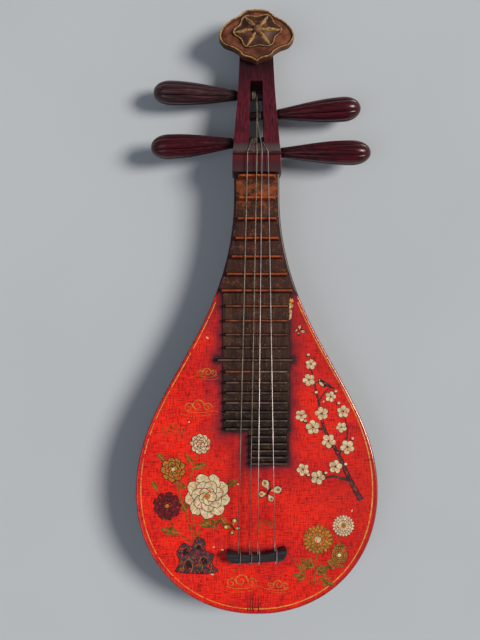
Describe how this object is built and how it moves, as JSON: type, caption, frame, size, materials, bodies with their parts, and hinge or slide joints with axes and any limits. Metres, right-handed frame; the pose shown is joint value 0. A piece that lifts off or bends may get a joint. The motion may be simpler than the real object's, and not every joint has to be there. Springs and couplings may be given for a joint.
{
  "type": "pipa",
  "caption": "Small pear-shaped plucked lute with a red lacquered soundboard, crosswise frets, strings tied to a bridge, turning friction pegs and a carved head plaque.",
  "frame": {"origin": "centre of the bounding box, on the plane that the instrument lies on", "axes": "+Y from the tail to the head, +Z out of the soundboard, +X to the right seen from above; it lies on its back"},
  "size_m": [0.246, 0.62, 0.0583],
  "materials": {
    "back_wood": "dark varnish",
    "binding_wood": "dark varnish",
    "red_lacquer": "crazed lacquer",
    "fingerboard_wood": "worn lacquer",
    "plate_wood": "worn lacquer",
    "maroon_wood": "semi-gloss stain",
    "nut_wood": "semi-gloss stain",
    "plaque_wood": "carved, worn gilding",
    "gilt_wood": "worn gilding",
    "bridge_wood": "blackened",
    "fret_wood": "dark sides and pale crest",
    "inner_wood": "bare",
    "wound_string": "wound",
    "plain_string": "bright"
  },
  "bodies": {
    "instrument": {"back_shell": "back_wood", "edge_binding": "binding_wood", "soundboard": "red_lacquer", "fingerboard": "fingerboard_wood", "fret_plate": "plate_wood", "pegbox": "maroon_wood", "nut": "nut_wood", "head_plaque": "plaque_wood", "star_medallion": "gilt_wood", "plaque_dowels": "inner_wood", "bridge": "bridge_wood", "lower_bar": "inner_wood", "upper_bar": "inner_wood", "sound_post": "inner_wood", "string_1": "wound_string", "string_2": "wound_string", "string_3": "plain_string", "string_4": "plain_string", "neck_fret_1": "fret_wood", "neck_fret_2": "fret_wood", "neck_fret_3": "fret_wood", "neck_fret_4": "fret_wood", "neck_fret_5": "fret_wood", "neck_fret_6": "fret_wood", "neck_fret_7": "fret_wood", "board_fret_8": "fret_wood", "board_fret_9": "fret_wood", "board_fret_10": "fret_wood", "board_fret_11": "fret_wood", "board_fret_12": "fret_wood", "board_fret_13": "fret_wood", "board_fret_14": "fret_wood", "board_fret_15": "fret_wood", "board_fret_16": "fret_wood", "board_fret_17": "fret_wood", "board_fret_18": "fret_wood", "board_fret_19": "fret_wood", "board_fret_20": "fret_wood", "board_fret_21": "fret_wood", "board_fret_22": "fret_wood", "board_fret_23": "fret_wood", "board_fret_24": "fret_wood"},
    "tuner_upper_left": {"peg_upper_left": "maroon_wood", "winding_upper_left": "wound_string"},
    "tuner_upper_right": {"peg_upper_right": "maroon_wood", "winding_upper_right": "plain_string"},
    "tuner_lower_left": {"peg_lower_left": "maroon_wood", "winding_lower_left": "wound_string"},
    "tuner_lower_right": {"peg_lower_right": "maroon_wood", "winding_lower_right": "plain_string"}
  },
  "joints": [
    {"name": "tune_upper_left", "type": "hinge", "parent": "instrument", "child": "tuner_upper_left", "pos_m": [0, 0.22241, 0.02329], "axis": [-0.9991, 0.0416, -0.0051], "continuous": true},
    {"name": "tune_upper_right", "type": "hinge", "parent": "instrument", "child": "tuner_upper_right", "pos_m": [0, 0.20117, 0.0259], "axis": [0.9966, 0.0813, -0.01], "continuous": true},
    {"name": "tune_lower_left", "type": "hinge", "parent": "instrument", "child": "tuner_lower_left", "pos_m": [0, 0.17368, 0.02927], "axis": [-0.9982, -0.0589, 0.0072], "continuous": true},
    {"name": "tune_lower_right", "type": "hinge", "parent": "instrument", "child": "tuner_lower_right", "pos_m": [0, 0.16206, 0.0307], "axis": [1, 0, 0], "continuous": true}
  ]
}
